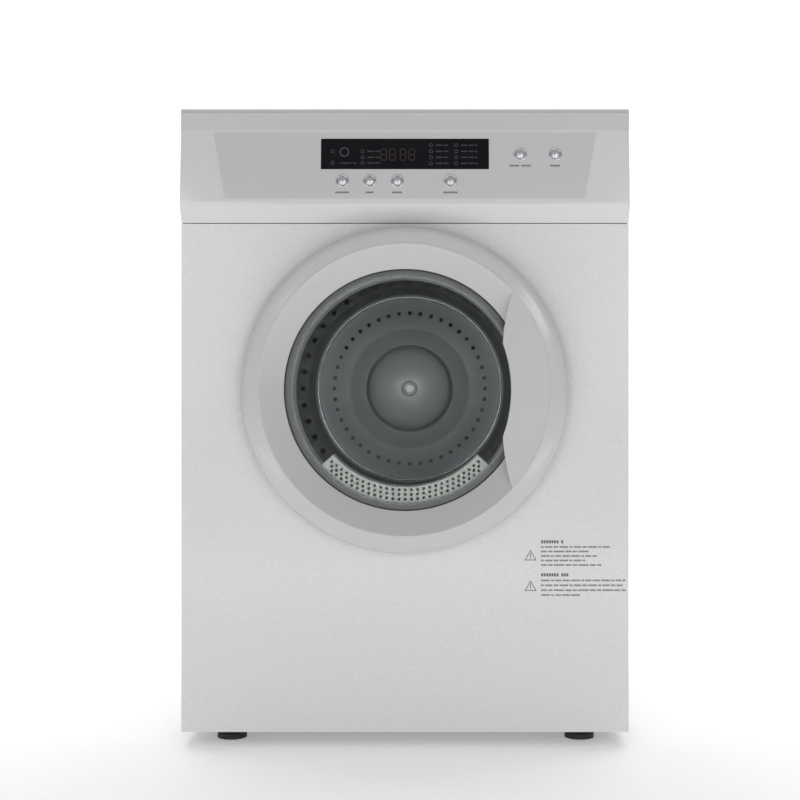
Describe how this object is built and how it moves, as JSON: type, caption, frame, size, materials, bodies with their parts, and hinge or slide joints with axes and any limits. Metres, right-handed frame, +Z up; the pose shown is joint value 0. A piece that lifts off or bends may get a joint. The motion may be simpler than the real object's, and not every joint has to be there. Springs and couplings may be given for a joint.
{
  "type": "clothes dryer",
  "caption": "Free-standing front-loading vented tumble dryer: white steel case, round glazed door, sloping control panel with push buttons, rotating steel drum.",
  "frame": {"origin": "on the floor, under the centre of the whole machine's bounding box", "axes": "+Z up, front toward -Y, door handle toward +X"},
  "size_m": [0.595, 0.609, 0.85],
  "materials": {
    "case_paint": "white enamel, satin gloss",
    "worktop_laminate": "white laminate",
    "white_plastic": "gloss white moulding",
    "silver_inlay": "satin silver white",
    "display_black": "gloss black",
    "chrome_trim": "polished",
    "circuit_board": "solder mask green",
    "galvanised_steel": "zinc grey, dull",
    "machined_steel": "turned",
    "stainless_drum": "brushed stainless",
    "screw_steel": "bright",
    "grey_plastic": "light grey moulding",
    "filter_plastic": "off white moulding",
    "clear_glass": "clear",
    "dark_rubber": "matte",
    "felt": "pressed felt",
    "motor_metal": "cast end shields",
    "idler_nylon": "natural nylon",
    "button_chrome": "silvered cap"
  },
  "bodies": {
    "cabinet": {"base_pan": "galvanised_steel", "left_side_panel": "case_paint", "right_side_panel": "case_paint", "front_panel": "case_paint", "rear_panel": "case_paint", "worktop": "worktop_laminate", "worktop_front_trim": "white_plastic", "control_fascia": "white_plastic", "control_inlay": "silver_inlay", "display_window": "display_black", "button_bezels": "chrome_trim", "control_board": "circuit_board", "hinge_bracket": "galvanised_steel", "hinge_pin": "machined_steel", "door_lock_switch": "grey_plastic", "throat_ring": "grey_plastic", "front_felt_seal": "felt", "front_bulkhead": "galvanised_steel", "filter_housing": "grey_plastic", "rear_bulkhead": "galvanised_steel", "bearing_bracket": "galvanised_steel", "heater_box": "galvanised_steel", "heater_rods": "machined_steel", "exhaust_collar": "grey_plastic", "mains_terminal_cover": "grey_plastic", "blower_housing": "grey_plastic", "motor_body": "motor_metal", "motor_mount": "galvanised_steel", "drive_belt": "dark_rubber", "roller_axles": "galvanised_steel"},
    "door": {"door_frame": "white_plastic", "door_handle": "white_plastic", "door_glass": "clear_glass", "door_back": "white_plastic", "door_seal": "dark_rubber", "hinge_leaf": "galvanised_steel", "door_strike": "machined_steel"},
    "drum": {"drum_shell": "stainless_drum", "drum_back": "stainless_drum", "drum_lifters": "grey_plastic", "drum_shaft": "machined_steel", "hub_cover": "stainless_drum", "hub_screw": "screw_steel"},
    "rotor": {"motor_shaft": "machined_steel", "blower_wheel": "grey_plastic"},
    "idler_lever": {"idler_arm": "galvanised_steel"},
    "idler_pulley": {"idler_wheel": "idler_nylon"},
    "roller_left": {"left_roller": "dark_rubber"},
    "roller_right": {"right_roller": "dark_rubber"},
    "filter": {"lint_filter": "filter_plastic"},
    "crease_guard_key": {"crease_guard_button": "button_chrome"},
    "heat_key": {"heat_button": "button_chrome"},
    "delay_key": {"delay_button": "button_chrome"},
    "program_key": {"program_button": "button_chrome"},
    "start_key": {"start_button": "button_chrome"},
    "power_key": {"power_button": "button_chrome"},
    "front_left_leveller": {"front_left_foot": "dark_rubber"},
    "front_right_leveller": {"front_right_foot": "dark_rubber"},
    "rear_left_leveller": {"rear_left_foot": "dark_rubber"},
    "rear_right_leveller": {"rear_right_foot": "dark_rubber"}
  },
  "joints": [
    {"name": "door_hinge", "type": "hinge", "parent": "cabinet", "child": "door", "pos_m": [-0.206, -0.2865, 0.475], "axis": [0, 0, -1], "range_deg": [0, 110]},
    {"name": "drum_spin", "type": "hinge", "parent": "cabinet", "child": "drum", "pos_m": [0, 0, 0.475], "axis": [0, 1, 0], "continuous": true},
    {"name": "rotor_spin", "type": "hinge", "parent": "cabinet", "child": "rotor", "pos_m": [0.14, 0, 0.108], "axis": [0, 1, 0], "continuous": true},
    {"name": "roller_left_spin", "type": "hinge", "parent": "cabinet", "child": "roller_left", "pos_m": [-0.17798, -0.1875, 0.22082], "axis": [0, 1, 0], "continuous": true},
    {"name": "roller_right_spin", "type": "hinge", "parent": "cabinet", "child": "roller_right", "pos_m": [0.17798, -0.1875, 0.22082], "axis": [0, 1, 0], "continuous": true},
    {"name": "idler_swing", "type": "hinge", "parent": "cabinet", "child": "idler_lever", "pos_m": [0.06, 0.0075, 0.055], "axis": [0, -1, 0], "range_deg": [0, 8], "stiffness_Nm_per_rad": 4, "springref_deg": -14.32},
    {"name": "idler_spin", "type": "hinge", "parent": "idler_lever", "child": "idler_pulley", "pos_m": [0.01093, -0.0015, 0.13826], "axis": [0, 1, 0], "continuous": true},
    {"name": "filter_lift", "type": "slide", "parent": "cabinet", "child": "filter", "axis": [0, 0, 1], "range_m": [0, 0.12]},
    {"name": "crease_guard_press", "type": "slide", "parent": "cabinet", "child": "crease_guard_key", "axis": [0, 0.9925, -0.1219], "range_m": [0, 0.0015], "stiffness_N_per_m": 400, "springref_m": -0.001},
    {"name": "heat_press", "type": "slide", "parent": "cabinet", "child": "heat_key", "axis": [0, 0.9925, -0.1219], "range_m": [0, 0.0015], "stiffness_N_per_m": 400, "springref_m": -0.001},
    {"name": "delay_press", "type": "slide", "parent": "cabinet", "child": "delay_key", "axis": [0, 0.9925, -0.1219], "range_m": [0, 0.0015], "stiffness_N_per_m": 400, "springref_m": -0.001},
    {"name": "program_press", "type": "slide", "parent": "cabinet", "child": "program_key", "axis": [0, 0.9925, -0.1219], "range_m": [0, 0.0015], "stiffness_N_per_m": 400, "springref_m": -0.001},
    {"name": "start_press", "type": "slide", "parent": "cabinet", "child": "start_key", "axis": [0, 0.9925, -0.1219], "range_m": [0, 0.0015], "stiffness_N_per_m": 400, "springref_m": -0.001},
    {"name": "power_press", "type": "slide", "parent": "cabinet", "child": "power_key", "axis": [0, 0.9925, -0.1219], "range_m": [0, 0.0015], "stiffness_N_per_m": 400, "springref_m": -0.001},
    {"name": "front_left_turn", "type": "hinge", "parent": "cabinet", "child": "front_left_leveller", "pos_m": [-0.2375, -0.2105, 0.02], "axis": [0, 0, 1], "continuous": true},
    {"name": "front_right_turn", "type": "hinge", "parent": "cabinet", "child": "front_right_leveller", "pos_m": [0.2375, -0.2105, 0.02], "axis": [0, 0, 1], "continuous": true},
    {"name": "rear_left_turn", "type": "hinge", "parent": "cabinet", "child": "rear_left_leveller", "pos_m": [-0.2375, 0.2245, 0.02], "axis": [0, 0, 1], "continuous": true},
    {"name": "rear_right_turn", "type": "hinge", "parent": "cabinet", "child": "rear_right_leveller", "pos_m": [0.2375, 0.2245, 0.02], "axis": [0, 0, 1], "continuous": true}
  ],
  "couplings": [
    {"joint": "rotor_spin", "follows": "drum_spin", "ratio": 22.789},
    {"joint": "roller_left_spin", "follows": "drum_spin", "ratio": -9.3333},
    {"joint": "roller_right_spin", "follows": "drum_spin", "ratio": -9.3333},
    {"joint": "idler_spin", "follows": "drum_spin", "ratio": -18.82}
  ]
}
